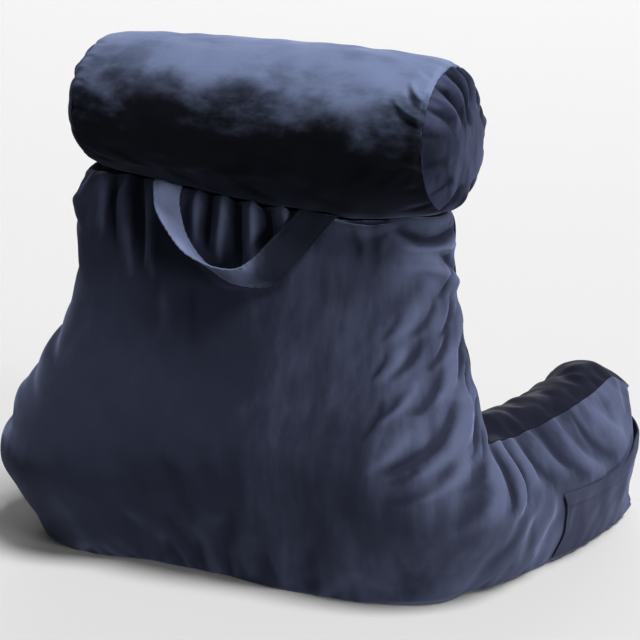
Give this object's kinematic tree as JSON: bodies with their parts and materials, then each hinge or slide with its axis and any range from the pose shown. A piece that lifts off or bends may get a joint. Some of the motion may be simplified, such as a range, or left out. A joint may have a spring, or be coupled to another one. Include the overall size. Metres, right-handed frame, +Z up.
{
  "type": "reading pillow with arms",
  "caption": "Filled velvet back-rest pillow whose back runs round into side arms, with a neck roll on top, a carry handle behind and a patch pocket on one arm.",
  "frame": {"origin": "middle of the footprint, at the underside that stands on the bed or floor", "axes": "+Z up; the open front and both arms point to -Y; the back panel with the handle faces +Y; the pocket is on the -X arm"},
  "size_m": [0.8138, 0.5658, 0.6744],
  "materials": {
    "navy_velvet": "short-pile velvet, brushed in patches",
    "navy_velvet_roll": "short-pile velvet, brushed in patches",
    "navy_velvet_strap": "doubled velvet with edge stitching",
    "navy_velvet_pocket": "velvet with a hemmed mouth"
  },
  "bodies": {
    "root": {"cushion_body": "navy_velvet", "neck_roll": "navy_velvet_roll", "carry_handle": "navy_velvet_strap", "arm_pocket": "navy_velvet_pocket"}
  },
  "joints": []
}
